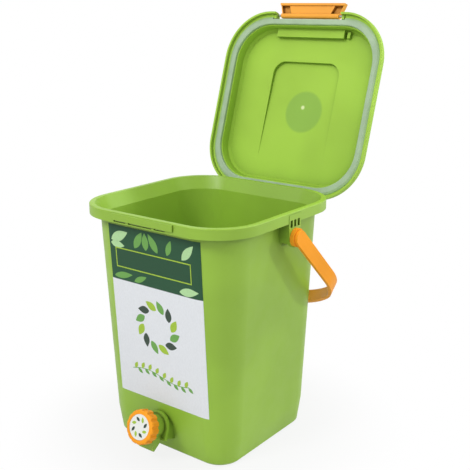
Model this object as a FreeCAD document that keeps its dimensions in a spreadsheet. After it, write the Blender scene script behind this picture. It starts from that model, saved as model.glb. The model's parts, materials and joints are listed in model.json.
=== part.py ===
import FreeCAD, Part
import math
import os
import re

import Sketcher

# Kitchen compost caddy, shown with the lid open.
# Millimetres, +Z up, origin on the floor under the middle of the bin, the front with the tap faces -Y.

DIMENSIONS = [
    # alias, value, meaning
    ("base_width", 182.0, "bin width at the floor, along X"),
    ("base_depth", 176.0, "bin depth at the floor, along Y"),
    ("base_corner", 30.0, "corner radius at the floor"),
    ("base_edge", 3.0, "bevel round the bottom edge"),
    ("kink_height", 33.0, "height where the wall slope changes"),
    ("kink_width", 190.0, "bin width at the kink"),
    ("kink_depth", 184.0, "bin depth at the kink"),
    ("kink_corner", 33.0, "corner radius at the kink"),
    ("neck_height", 284.0, "height where the wall flares out to the rim"),
    ("neck_width", 214.0, "bin width at the neck"),
    ("neck_depth", 213.6, "bin depth at the neck"),
    ("neck_corner", 48.0, "corner radius at the neck"),
    ("flare_width", 230.0, "bin width under the lip"),
    ("flare_depth", 228.0, "bin depth under the lip"),
    ("flare_corner", 55.0, "corner radius under the lip"),
    ("rim_height", 300.0, "top of the lip"),
    ("rim_width", 240.0, "outer width of the rim"),
    ("rim_depth", 238.0, "outer depth of the rim"),
    ("rim_corner", 59.0, "outer corner radius of the rim"),
    ("rim_skirt", 12.5, "height of the rim skirt"),
    ("lip_width", 6.5, "width of the flat lip"),
    ("wall", 2.5, "wall thickness"),
    ("floor_thick", 4.0, "floor thickness"),
    ("floor_round", 5.0, "rounding between floor and wall"),
    ("catch_half", 46.0, "half length of the catch bar"),
    ("catch_bottom", 291.2, "lower edge of the catch bar"),
    ("catch_top", 299.0, "upper edge of the catch bar"),
    ("catch_reach", 1.8, "catch bar beyond the rim"),
    ("window_height", 2.4, "height of the slots under the catch"),
    ("pivot_y", 8.0, "handle pivot, Y"),
    ("pivot_z", 270.0, "handle pivot, Z"),
    ("boss_half", 12.0, "half width of a handle boss"),
    ("boss_face", 120.5, "outer face of a handle boss, X"),
    ("boss_plate", 3.3, "thickness of the boss plate"),
    ("boss_core", 9.5, "half width of the boss core"),
    ("peg_hole", 4.0, "radius of the pivot hole"),
    ("vent_half", 2.2, "half width of a vent slot"),
    ("vent_depth", 8.0, "depth of a vent slot"),
    ("vent_pitch", 7.3, "spacing of the vent slots"),
    ("vent_bottom", 282.5, "lower end of a vent slot"),
    ("vent_top", 291.0, "upper end of a vent slot"),
    ("hinge_y", 125.03, "lid hinge axis, Y"),
    ("hinge_z", 284.44, "lid hinge axis, Z"),
    ("hinge_mid", 60.0, "middle of a hinge, X"),
    ("hinge_radius", 5.0, "radius of the hinge ears and knuckles"),
    ("knuckle_length", 20.0, "length of a lid knuckle"),
    ("ear_thick", 5.0, "thickness of a hinge ear"),
    ("ear_gap", 0.3, "gap between ear and knuckle"),
    ("pin_radius", 2.0, "hinge pin radius"),
    ("pin_head", 3.4, "hinge pin head radius"),
    ("open_angle", 107.7, "lid angle as shown"),
    ("lid_width", 247.6, "outer width of the lid"),
    ("lid_depth", 248.6, "outer depth of the lid"),
    ("lid_corner", 65.0, "outer corner radius of the lid"),
    ("lid_wall", 2.6, "thickness of the lid skirt"),
    ("lid_bottom", 296.3, "lower edge of the lid skirt, lid shut"),
    ("lid_roof", 310.0, "top of the lid flange, lid shut"),
    ("lid_edge", 8.0, "rounding of the lid flange"),
    ("lid_top", 322.5, "top of the lid panel, lid shut"),
    ("plateau_width", 217.4, "width of the raised lid panel"),
    ("plateau_depth", 215.4, "depth of the raised lid panel"),
    ("plateau_corner", 51.0, "corner radius of the raised lid panel"),
    ("plateau_edge", 5.0, "rounding of the raised lid panel"),
    ("seat_half", 117.2, "outer half width of the seal seat"),
    ("seat_height", 304.3, "seal seat, lid shut"),
    ("hollow_half", 107.5, "half width of the lid hollow"),
    ("seal_thick", 4.0, "thickness of the seal ring"),
    ("bar_half", 53.5, "half length of the bar inside the lid"),
    ("bar_front", 106.0, "front of the bar, -Y"),
    ("bar_back", 94.0, "back of the bar, -Y"),
    ("bar_drop", 7.0, "bar below the panel"),
    ("scoop_half", 53.0, "half width of the sloping field in the lid"),
    ("scoop_front", 61.0, "front of the sloping field, -Y"),
    ("scoop_back", 75.0, "back end of the sloping field, Y"),
    ("scoop_depth", 5.0, "depth of the sloping field at the front"),
    ("scoop_lean", 2.1, "slope of the sloping field"),
    ("scoop_corner", 18.0, "corner radius of the sloping field"),
    ("lug_start", 57.2, "start of the lug beside the bar, X"),
    ("lug_end", 61.5, "end of the lug beside the bar, X"),
    ("notch_half", 52.0, "half width of the latch notch"),
    ("notch_back", 117.0, "back of the latch notch, -Y"),
    ("latch_y", 120.8, "latch pivot, -Y, lid shut"),
    ("latch_z", 305.0, "latch pivot, Z, lid shut"),
    ("latch_pin_radius", 1.5, "latch pin radius"),
    ("latch_knuckle", 3.2, "latch knuckle radius"),
    ("latch_front", 127.2, "front face of the latch, -Y, latched"),
    ("latch_inner", 121.3, "back face of the latch plate, -Y, latched"),
    ("latch_bottom", 287.5, "free edge of the latch, latched"),
    ("latch_hook", 119.6, "tip of the latch hook, -Y"),
    ("hook_thick", 3.1, "thickness of the latch hook"),
    ("latch_pocket", 4.7, "depth of the pockets at the latch ends"),
    ("block_half_free", 36.0, "half width of the latch block near the free edge"),
    ("block_half_top", 31.5, "half width of the latch block near the knuckle"),
    ("latch_cheek", 1.6, "thickness of the latch end walls"),
    ("latch_half_top", 45.5, "half width of the latch at its knuckle"),
    ("latch_half_free", 51.7, "half width of the latch at its free edge"),
    ("bail_drop", 46.0, "handle angle below level as shown"),
    ("bail_half", 129.5, "half spread of the handle at its pivots"),
    ("bail_lean", 3.0, "outward lean of the handle arms"),
    ("bail_arm", 86.0, "length of a straight handle arm"),
    ("bail_bend", 60.0, "radius of the handle bends"),
    ("bail_crown", 168.0, "radius of the handle crown"),
    ("bail_thick", 4.0, "thickness of the handle strap"),
    ("bail_width", 18.0, "width of the handle strap"),
    ("bail_disc", 11.0, "radius of the disc at a handle end"),
    ("peg_radius", 3.95, "radius of a handle peg"),
    ("peg_head", 4.7, "radius of a peg head"),
    ("side_gap", 0.3, "gap beside a moving piece"),
    ("label_half", 69.5, "half width of the label"),
    ("label_mid", 3.0, "middle of the label, X"),
    ("label_bottom", 64.0, "lower edge of the label"),
    ("label_top", 281.0, "upper edge of the label"),
    ("label_gap", 0.05, "glue under the label"),
    ("label_thick", 0.3, "thickness of the label"),
    ("strainer_height", 52.0, "underside of the strainer"),
    ("strainer_thick", 2.5, "thickness of the strainer"),
    ("strainer_width", 182.0, "width of the strainer"),
    ("strainer_depth", 176.0, "depth of the strainer"),
    ("strainer_corner", 30.0, "corner radius of the strainer"),
    ("strainer_pitch", 24.0, "spacing of the strainer holes"),
    ("strainer_hole", 4.0, "radius of a strainer hole"),
    ("strainer_leg", 6.0, "radius of a strainer leg"),
    ("tap_y", 134.4, "front of the tap knob, -Y"),
    ("tap_z", 48.4, "front of the tap knob, Z"),
    ("tap_tilt", 20.0, "upward tilt of the tap"),
    ("tap_boss_face", 35.6, "depth of the boss face behind the knob front"),
    ("tap_boss_radius", 16.0, "radius of the arched boss"),
    ("tap_boss_legs", 12.0, "boss below the tap axis"),
    ("tap_pad_face", 54.6, "depth of the pad inside the bin"),
    ("tap_pad_radius", 14.5, "radius of the pad inside the bin"),
    ("tap_hole", 8.2, "radius of the tap hole"),
    ("tap_tail", 8.0, "radius of the tap tail"),
    ("tap_end", 67.0, "depth of the tap tail end"),
    ("tap_inlet", 5.0, "radius of the tap inlet"),
    ("bonnet_radius", 14.0, "radius of the tap barrel"),
    ("bonnet_front", 12.6, "depth of the barrel front"),
    ("flange_half", 18.2, "half width of the arched tap flange"),
    ("flange_legs", 13.5, "flange below the tap axis"),
    ("flange_border", 2.2, "width of the raised flange border"),
    ("flange_rise", 1.0, "height of the raised flange border"),
    ("flange_front", 31.0, "depth of the flange front"),
    ("flange_back", 34.2, "depth of the flange back"),
    ("chamber_radius", 9.0, "radius of the valve chamber"),
    ("chamber_end", 29.0, "depth of the valve chamber end"),
    ("spout_half", 11.5, "half width of the spout"),
    ("spout_lip", 22.0, "depth of the spout lip"),
    ("spout_drop", 27.7, "spout below the tap axis"),
    ("knob_radius", 20.8, "radius of the knob"),
    ("knob_depth", 12.0, "depth of the knob"),
    ("flute_radius", 2.7, "radius of a knob flute"),
    ("disc_radius", 15.1, "radius of the disc on the knob"),
    ("plug_radius", 8.92, "radius of the valve plug"),
    ("plug_front", 13.0, "depth of the plug front"),
    ("plug_end", 28.7, "depth of the plug end"),
    ("stem_half", 3.5, "half width of the square stem"),
    ("ring_radius", 0.9, "section radius of a plug seal"),
]

doc = FreeCAD.newDocument("CompostCaddy")
sheet = doc.addObject("Spreadsheet::Sheet", "Dims")
for row, (alias, value, meaning) in enumerate(DIMENSIONS, start=1):
    sheet.set(f"A{row}", meaning)
    sheet.set(f"B{row}", str(value))
    sheet.setAlias(f"B{row}", alias)
doc.recompute()

ALIASES = {alias for alias, value, meaning in DIMENSIONS}


def bound(text):
    """Expression over the sheet, written with the bare aliases."""
    return re.sub(r"[a-z_]+", lambda word: "Dims." + word[0] if word[0] in ALIASES else word[0], str(text))


def number(text):
    """Present value of such an expression."""
    return float(sheet.evalExpression(bound(text)))


def new_body(label, placement=None):
    body = doc.addObject("PartDesign::Body", label)
    body.Label = label
    body.Placement = placement or FreeCAD.Placement()
    return body


def sketch_on(body, name, plane, offset="0", tilt=None):
    """Sketch on an origin plane of the body: XY looks along +Z, XZ along -Y, YZ along +X.

    With a tilt, (along its own y, along its normal, angle), the plane is moved and leaned back about X.
    """
    sketch = body.newObject("Sketcher::SketchObject", name)
    origin = next(item for item in body.Origin.OriginFeatures if item.Role == plane + "_Plane")
    sketch.AttachmentSupport = [(origin, "")]
    sketch.MapMode = "FlatFace"
    if tilt:
        sketch.AttachmentOffset = FreeCAD.Placement(
            FreeCAD.Vector(0, 0, 0), FreeCAD.Rotation(FreeCAD.Vector(1, 0, 0), -number(tilt[2])))
        sketch.setExpression("AttachmentOffset.Base.y", bound(tilt[0]))
        sketch.setExpression("AttachmentOffset.Base.z", bound(tilt[1]))
    else:
        sketch.setExpression("AttachmentOffset.Base.z", bound(offset))
    return sketch


def bind(sketch, constraint, text):
    """Add a dimension to a sketch and bind it to the sheet."""
    index = sketch.addConstraint(constraint)
    name = f"size_{index}"
    sketch.renameConstraint(index, name)
    sketch.setExpression("Constraints." + name, bound(text))


def arc_through(start, end, centre, turn):
    """Arc from start to end about a centre, turning left (1) or right (-1)."""
    first, last = (start, end) if turn > 0 else (end, start)
    radius = (first - centre).Length
    angles = [math.atan2(point.y - centre.y, point.x - centre.x) for point in (first, last)]
    if angles[1] <= angles[0]:
        angles[1] += 2 * math.pi
    return Part.ArcOfCircle(Part.Circle(centre, FreeCAD.Vector(0, 0, 1), radius), angles[0], angles[1])


def outline(sketch, corners):
    """Closed outline. A corner (x, y) starts a line, a corner (x, y, cx, cy, turn) starts an arc."""
    points = [FreeCAD.Vector(number(corner[0]), number(corner[1]), 0) for corner in corners]
    starts = []
    for index, corner in enumerate(corners):
        start = points[index]
        end = points[(index + 1) % len(points)]
        if len(corner) == 2:
            starts.append((sketch.addGeometry(Part.LineSegment(start, end)), 1, 2))
            continue
        centre = FreeCAD.Vector(number(corner[2]), number(corner[3]), 0)
        edge = sketch.addGeometry(arc_through(start, end, centre, corner[4]))
        starts.append((edge, 1, 2) if corner[4] > 0 else (edge, 2, 1))
    for index, corner in enumerate(corners):
        edge, head, tail = starts[index]
        following, next_head, next_tail = starts[(index + 1) % len(starts)]
        sketch.addConstraint(Sketcher.Constraint("Coincident", edge, tail, following, next_head))
        bind(sketch, Sketcher.Constraint("DistanceX", -1, 1, edge, head, points[index].x), corner[0])
        bind(sketch, Sketcher.Constraint("DistanceY", -1, 1, edge, head, points[index].y), corner[1])
        if len(corner) > 2:
            chord = points[(index + 1) % len(points)] - points[index]
            if abs(chord.x) > abs(chord.y):
                bind(sketch, Sketcher.Constraint("DistanceY", -1, 1, edge, 3, number(corner[3])), corner[3])
            else:
                bind(sketch, Sketcher.Constraint("DistanceX", -1, 1, edge, 3, number(corner[2])), corner[2])


def rectangle(sketch, left, right, low, high):
    outline(sketch, [(left, low), (right, low), (right, high), (left, high)])


def circle(sketch, x, y, radius):
    middle = FreeCAD.Vector(number(x), number(y), 0)
    edge = sketch.addGeometry(Part.Circle(middle, FreeCAD.Vector(0, 0, 1), number(radius)))
    bind(sketch, Sketcher.Constraint("DistanceX", -1, 1, edge, 3, middle.x), x)
    bind(sketch, Sketcher.Constraint("DistanceY", -1, 1, edge, 3, middle.y), y)
    bind(sketch, Sketcher.Constraint("Radius", edge, number(radius)), radius)


def rounded_rectangle(sketch, width, depth, corner):
    """Rectangle about the origin with round corners."""
    half_x, half_y = f"({width}) / 2", f"({depth}) / 2"
    in_x, in_y = f"({half_x} - ({corner}))", f"({half_y} - ({corner}))"
    outline(sketch, [
        (f"-{in_x}", f"-{half_y}"),
        (in_x, f"-{half_y}", in_x, f"-{in_y}", 1),
        (half_x, f"-{in_y}"),
        (half_x, in_y, in_x, in_y, 1),
        (in_x, half_y),
        (f"-{in_x}", half_y, f"-{in_x}", in_y, 1),
        (f"-{half_x}", in_y),
        (f"-{half_x}", f"-{in_y}", f"-{in_x}", f"-{in_y}", 1),
    ])


def arch(sketch, half, legs):
    """Half circle about the origin on two straight legs."""
    outline(sketch, [
        (f"-({half})", f"-({legs})"),
        (half, f"-({legs})"),
        (half, "0", "0", "0", 1),
        (f"-({half})", "0"),
    ])


def section(body, name, height, width, depth, corner):
    """Level sketch with one rounded rectangle."""
    sketch = sketch_on(body, name, "XY", height)
    rounded_rectangle(sketch, width, depth, corner)
    return sketch


def extrude(body, kind, sketch, length, back=False, both=False):
    feature = body.newObject("PartDesign::" + kind, sketch.Name + kind)
    feature.Profile = sketch
    feature.SideType = "Symmetric" if both else "One side"
    feature.Reversed = back
    feature.setExpression("Length", bound(length))
    return feature


def pad(body, sketch, length, back=False, both=False):
    return extrude(body, "Pad", sketch, length, back, both)


def pocket(body, sketch, length, back=False, both=False):
    return extrude(body, "Pocket", sketch, length, back, both)


def loft(body, kind, name, sections):
    feature = body.newObject("PartDesign::" + kind, name)
    feature.Profile = sections[0]
    feature.Sections = sections[1:]
    feature.Ruled = True
    return feature


def revolve(body, sketch):
    """Full turn about the vertical axis of the sketch."""
    feature = body.newObject("PartDesign::Revolution", sketch.Name + "Turn")
    feature.Profile = sketch
    feature.ReferenceAxis = (sketch, ["V_Axis"])
    feature.Angle = 360
    return feature


def fillet(body, name, radius, keep):
    """Round the edges of the present tip whose centre passes the test."""
    doc.recompute()
    base = body.Tip
    names = [f"Edge{i}" for i, edge in enumerate(base.Shape.Edges, start=1) if keep(edge)]
    feature = body.newObject("PartDesign::Fillet", name)
    feature.Base = (base, names)
    feature.setExpression("Radius", bound(radius))
    return feature


def at_height(z):
    level = number(z)
    return lambda edge: abs(edge.BoundBox.ZMin - level) < 0.01 and abs(edge.BoundBox.ZMax - level) < 0.01


HINGE = FreeCAD.Vector(0, number("hinge_y"), number("hinge_z"))
LATCH = FreeCAD.Vector(0, -number("latch_y"), number("latch_z"))
ABOUT_X = FreeCAD.Vector(1, 0, 0)
LID_OPEN = FreeCAD.Placement(
    FreeCAD.Vector(), FreeCAD.Rotation(ABOUT_X, -number("open_angle")), HINGE)
LATCH_RAISED = LID_OPEN.multiply(FreeCAD.Placement(FreeCAD.Vector(), FreeCAD.Rotation(ABOUT_X, -90), LATCH))
BAIL_HANGING = FreeCAD.Placement(
    FreeCAD.Vector(0, number("pivot_y"), number("pivot_z")), FreeCAD.Rotation(ABOUT_X, -number("bail_drop")))
# In the tap's own frame the axis is Y, and y is the depth behind the knob front.
TAP_FRAME = FreeCAD.Placement(
    FreeCAD.Vector(0, -number("tap_y"), number("tap_z")), FreeCAD.Rotation(ABOUT_X, -number("tap_tilt")))


def tap_plane(depth):
    """Offset of a bin sketch that lies square to the tap axis at a depth."""
    return (f"tap_z - ({depth}) * sin(tap_tilt)", f"tap_y - ({depth}) * cos(tap_tilt)", "tap_tilt")


def build_bin():
    body = new_body("bin_body")
    loft(body, "AdditiveLoft", "BinWalls", [
        section(body, "BinSole", "0", "base_width - 2 * base_edge", "base_depth - 2 * base_edge",
                "base_corner - base_edge"),
        section(body, "BinFoot", "base_edge", "base_width", "base_depth", "base_corner"),
        section(body, "BinKink", "kink_height", "kink_width", "kink_depth", "kink_corner"),
        section(body, "BinNeck", "neck_height", "neck_width", "neck_depth", "neck_corner"),
        section(body, "BinFlare", "rim_height - wall", "flare_width", "flare_depth", "flare_corner"),
    ])
    lip = section(body, "RimLip", "rim_height - wall", "rim_width", "rim_depth", "rim_corner")
    pad(body, lip, "wall")
    fillet(body, "RimLipRound", "1.2", at_height("rim_height"))
    skirt = section(body, "RimSkirt", "rim_height - rim_skirt", "rim_width", "rim_depth", "rim_corner")
    rounded_rectangle(skirt, "rim_width - 2 * wall", "rim_depth - 2 * wall", "rim_corner - wall")
    pad(body, skirt, "rim_skirt - wall / 2")

    # Arched bosses for the handle, one block right across before the cavity is cut.
    side_view = sketch_on(body, "HandleBoss", "YZ")
    outline(side_view, [
        ("pivot_y - boss_half", "pivot_z", "pivot_y", "pivot_z", 1),
        ("pivot_y + boss_half", "pivot_z"),
        ("pivot_y + boss_half", "rim_height - wall"),
        ("pivot_y - boss_half", "rim_height - wall"),
    ])
    pad(body, side_view, "2 * boss_face", both=True)

    # Hinge ears with their gussets.
    inner = "hinge_mid - knuckle_length / 2 - ear_gap - ear_thick"
    outer = "hinge_mid + knuckle_length / 2 + ear_gap"
    starts = [inner, outer, f"-({inner}) - ear_thick", f"-({outer}) - ear_thick"]
    for count, start in enumerate(starts, start=1):
        ear = sketch_on(body, f"HingeEar{count}", "YZ", start)
        outline(ear, [
            ("rim_depth / 2 - 19", "neck_height - 22"),
            ("hinge_y", "hinge_z - hinge_radius", "hinge_y", "hinge_z", 1),
            ("hinge_y", "hinge_z + hinge_radius"),
            ("rim_depth / 2 - 1", "hinge_z + hinge_radius"),
            ("rim_depth / 2 - 1", "rim_height - wall / 2"),
            ("rim_depth / 2 - 19", "rim_height - wall / 2"),
        ])
        pad(body, ear, "ear_thick")

    # Arched boss for the tap, square to the tilted tap axis.
    boss = sketch_on(body, "TapBoss", "XZ", tilt=tap_plane("tap_boss_face"))
    arch(boss, "tap_boss_radius", "tap_boss_legs")
    pad(body, boss, "27", back=True)

    loft(body, "SubtractiveLoft", "BinCavity", [
        section(body, "CavityFloor", "floor_thick", "base_width - 2 * wall - 2 * floor_round",
                "base_depth - 2 * wall - 2 * floor_round", "base_corner - wall - floor_round / 2"),
        section(body, "CavityFoot", "floor_thick + floor_round", "base_width - 2 * wall + 2",
                "base_depth - 2 * wall + 2", "base_corner - wall"),
        section(body, "CavityKink", "kink_height", "kink_width - 2 * wall", "kink_depth - 2 * wall",
                "kink_corner - wall"),
        section(body, "CavityNeck", "neck_height", "neck_width - 2 * wall", "neck_depth - 2 * wall",
                "neck_corner - wall"),
        section(body, "CavityTop", "rim_height", "rim_width - 2 * lip_width", "rim_depth - 2 * lip_width",
                "rim_corner - lip_width"),
    ])

    # Hollow bosses: a core open at the bottom, a hole for the handle peg and three vent slots on each side.
    core = sketch_on(body, "BossCore", "XY", "pivot_z - boss_half - 8")
    for side in ("", "-"):
        rectangle(core, f"{side}(boss_face - boss_plate)", f"{side}(boss_face - boss_plate - 9)",
                  "pivot_y - boss_core", "pivot_y + boss_core")
    pocket(body, core, "boss_half + 24", back=True)
    for side, name in ((1, "Right"), (-1, "Left")):
        face = sketch_on(body, "PegHole" + name, "YZ", f"{side} * boss_face")
        circle(face, "pivot_y", "pivot_z", "peg_hole")
        pocket(body, face, "boss_plate + 0.5", back=side < 0)
        vents = sketch_on(body, "BossVents" + name, "YZ", f"{side} * boss_face")
        for step in (-1, 0, 1):
            middle = f"(pivot_y + {step} * vent_pitch)"
            rectangle(vents, f"{middle} - vent_half", f"{middle} + vent_half", "vent_bottom", "vent_top")
        pocket(body, vents, "vent_depth", back=side < 0)

    # Catch bar on the front of the rim, with slots through the skirt under it.
    catch = sketch_on(body, "CatchBar", "XZ", "rim_depth / 2 - 1")
    rectangle(catch, "-catch_half", "catch_half", "catch_bottom", "catch_top")
    pad(body, catch, "catch_reach + 1")
    windows = sketch_on(body, "CatchWindows", "XZ", "rim_depth / 2 + catch_reach")
    for start, end in ((-44.5, -26), (-21.7, 14), (17.7, 34)):
        rectangle(windows, str(start), str(end), "catch_bottom - window_height", "catch_bottom")
    pocket(body, windows, "catch_reach + wall + 1")

    bore = sketch_on(body, "HingeBore", "YZ")
    circle(bore, "hinge_y", "hinge_z", "pin_radius + 0.01")
    pocket(body, bore, "4 * hinge_mid", both=True)

    inside = sketch_on(body, "TapPad", "XZ", tilt=tap_plane("tap_pad_face"))
    circle(inside, "0", "0", "tap_pad_radius")
    pad(body, inside, "8")
    hole = sketch_on(body, "TapHole", "XZ", tilt=tap_plane("tap_boss_face - 1"))
    circle(hole, "0", "0", "tap_hole")
    pocket(body, hole, "tap_pad_face - tap_boss_face + 4")
    return body


def build_label():
    """Thin sheet that follows the front wall."""
    body = new_body("front_label")
    growths = (("AdditiveLoft", "2 * (label_gap + label_thick)"), ("SubtractiveLoft", "2 * label_gap"))
    for kind, grow in growths:
        loft(body, kind, "Label" + kind, [
            section(body, kind + "Low", "kink_height", f"kink_width + {grow}", f"kink_depth + {grow}",
                    f"kink_corner + ({grow}) / 2"),
            section(body, kind + "High", "neck_height", f"neck_width + {grow}", f"neck_depth + {grow}",
                    f"neck_corner + ({grow}) / 2"),
        ])
    trim = sketch_on(body, "LabelTrim", "XZ", "rim_depth")
    rectangle(trim, "-rim_width", "rim_width", "0", "rim_height + 50")
    rectangle(trim, "label_mid - label_half", "label_mid + label_half", "label_bottom", "label_top")
    pocket(body, trim, "2 * rim_depth")
    back = sketch_on(body, "LabelBack", "XZ")
    rectangle(back, "-rim_width", "rim_width", "0", "rim_height + 50")
    pocket(body, back, "rim_depth")
    return body


def build_strainer():
    body = new_body("strainer_plate")
    plate = section(body, "StrainerPlate", "strainer_height", "strainer_width", "strainer_depth",
                    "strainer_corner")
    pad(body, plate, "strainer_thick")
    holes = sketch_on(body, "StrainerHoles", "XY", "strainer_height + strainer_thick")
    for row in range(-3, 4):
        for column in range(-3, 4):
            on_corner = abs(row) == 3 and abs(column) == 3
            if not on_corner:
                circle(holes, f"{column} * strainer_pitch", f"{row} * strainer_pitch", "strainer_hole")
    pocket(body, holes, "strainer_thick + 1")
    return body


def build_strainer_leg(label, x, y):
    """Round leg under the strainer, between two rows of its holes."""
    leg = doc.addObject("Part::Cylinder", label)
    leg.Label = label
    leg.setExpression("Radius", bound("strainer_leg"))
    leg.setExpression("Height", bound("strainer_height - floor_thick - side_gap"))
    leg.setExpression("Placement.Base.x", bound(f"{x} * 2.5 * strainer_pitch"))
    leg.setExpression("Placement.Base.y", bound(f"{y} * 2 * strainer_pitch"))
    leg.setExpression("Placement.Base.z", bound("floor_thick + side_gap"))
    return leg


def build_lid():
    body = new_body("lid_shell", LID_OPEN)
    flange = section(body, "LidFlange", "lid_bottom", "lid_width", "lid_depth", "lid_corner")
    pad(body, flange, "lid_roof - lid_bottom")
    fillet(body, "LidFlangeRound", "lid_edge", at_height("lid_roof"))
    loft(body, "AdditiveLoft", "LidPlateau", [
        section(body, "PlateauLow", "lid_roof - 1", "plateau_width + 2", "plateau_depth + 2",
                "plateau_corner + 1"),
        section(body, "PlateauTop", "lid_top", "plateau_width - 2", "plateau_depth - 2",
                "plateau_corner - 1"),
    ])
    fillet(body, "LidPlateauRound", "plateau_edge", at_height("lid_top"))

    # Sloping field, raised on the outside and hollow on the inside.
    rise = sketch_on(body, "ScoopOutside", "YZ")
    outline(rise, [
        ("-scoop_front - wall", "lid_top - 1"),
        ("scoop_back", "lid_top - 1"),
        ("scoop_back", "lid_top"),
        ("-scoop_front - wall", "lid_top + scoop_depth"),
    ])
    pad(body, rise, "2 * (scoop_half + wall)", both=True)
    front = -number("scoop_front + wall")

    def front_corner(edge):
        box = edge.BoundBox
        upright = box.ZLength > 3 and box.XLength < 0.01 and box.YLength < 0.01
        return upright and abs(box.YMin - front) < 0.01

    fillet(body, "ScoopOutsideRound", "scoop_corner", front_corner)

    underside = section(body, "LidUnderside", "lid_bottom", "lid_width - 2 * lid_wall",
                        "lid_depth - 2 * lid_wall", "lid_corner - lid_wall")
    pocket(body, underside, "lid_roof - lid_bottom - wall", back=True)
    seat = section(body, "SealSeat", "seat_height", "2 * seat_half", "2 * seat_half - 2", "lid_corner - 8")
    pad(body, seat, "lid_roof - seat_height - 1")
    panel_under = "lid_top - wall"
    loft(body, "SubtractiveLoft", "LidHollow", [
        section(body, "HollowLow", "seat_height", "2 * hollow_half", "2 * hollow_half - 2",
                "plateau_corner - 1"),
        section(body, "HollowMid", "lid_top - wall - 4", "2 * hollow_half - 3", "2 * hollow_half - 5",
                "plateau_corner - 2"),
        section(body, "HollowTop", panel_under, "2 * hollow_half - 9", "2 * hollow_half - 11",
                "plateau_corner - 5"),
    ])

    # Inside of the sloping field: a leaning cut with the same round front corners that runs out at the back.
    lean = ("-scoop_front", f"{panel_under} + scoop_depth", "scoop_lean")
    field = sketch_on(body, "ScoopInside", "XY", tilt=lean)
    corner_x = "(scoop_half - scoop_corner)"
    back_end = "(scoop_front + scoop_back + 3)"
    outline(field, [
        (f"-{corner_x}", "0"),
        (corner_x, "0", corner_x, "scoop_corner", 1),
        ("scoop_half", "scoop_corner"),
        ("scoop_half", back_end),
        ("-scoop_half", back_end),
        ("-scoop_half", "scoop_corner", f"-{corner_x}", "scoop_corner", 1),
    ])
    pocket(body, field, "scoop_depth + 4")

    # Bar across the inside near the front, hollow from the outside.
    bar = sketch_on(body, "LidBar", "XY", "lid_top - wall / 2")
    rectangle(bar, "-bar_half", "bar_half", "-bar_front", "-bar_back")
    pad(body, bar, "bar_drop + wall / 2", back=True)
    lug = sketch_on(body, "LidBarLug", "XY", "lid_top - wall / 2")
    rectangle(lug, "lug_start", "lug_end", "-bar_front + 3", "-bar_back - 1")
    pad(body, lug, "bar_drop - 1", back=True)
    groove = sketch_on(body, "LidBarGroove", "XY", "lid_top")
    rectangle(groove, "-bar_half + wall", "bar_half - wall", "-bar_front + 2 * wall", "-bar_back - wall")
    pocket(body, groove, "bar_drop")

    # Notch for the latch, with a cheek at each end that holds its pin.
    notch = sketch_on(body, "LatchNotch", "XY", "lid_roof + 1")
    rectangle(notch, "-notch_half", "notch_half", "-lid_depth / 2 - 5", "-notch_back")
    pocket(body, notch, "lid_roof - lid_bottom + 2")
    for side, name in ((1, "Right"), (-1, "Left")):
        cheek = sketch_on(body, "LatchCheek" + name, "YZ", f"{side} * notch_half")
        rectangle(cheek, "-lid_depth / 2 + 1", "-notch_back + 1", "latch_z - 4", "lid_roof - 1")
        pad(body, cheek, "4", back=side < 0)
    pin_hole = sketch_on(body, "LatchPinHole", "YZ")
    circle(pin_hole, "-latch_y", "latch_z", "latch_pin_radius + 0.02")
    pocket(body, pin_hole, "2 * notch_half + 12", both=True)

    # Hinge knuckles on arms from the back of the skirt.
    for side, name in ((1, "Right"), (-1, "Left")):
        arm = sketch_on(body, "Knuckle" + name, "YZ", f"{side} * hinge_mid - knuckle_length / 2")
        outline(arm, [
            ("hinge_y + hinge_radius", "hinge_z"),
            ("hinge_y + 2", "hinge_z + 18"),
            ("hinge_y - 2.2", "hinge_z + 18"),
            ("hinge_y - 2.2", "hinge_z + 12"),
            ("hinge_y - hinge_radius", "hinge_z", "hinge_y", "hinge_z", 1),
        ])
        pad(body, arm, "knuckle_length")
    bore = sketch_on(body, "KnuckleBore", "YZ")
    circle(bore, "hinge_y", "hinge_z", "pin_radius + 0.06")
    pocket(body, bore, "4 * hinge_mid", both=True)
    return body


def build_seal():
    body = new_body("lid_seal", LID_OPEN)
    ring = section(body, "SealRing", "seat_height - seal_thick", "2 * seat_half - 1.4", "2 * seat_half - 3.4",
                   "lid_corner - 8.7")
    rounded_rectangle(ring, "2 * hollow_half + 3", "2 * hollow_half + 1", "plateau_corner + 0.5")
    pad(body, ring, "seal_thick")
    fillet(body, "SealRound", "1.4", at_height("seat_height - seal_thick"))
    return body


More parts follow.
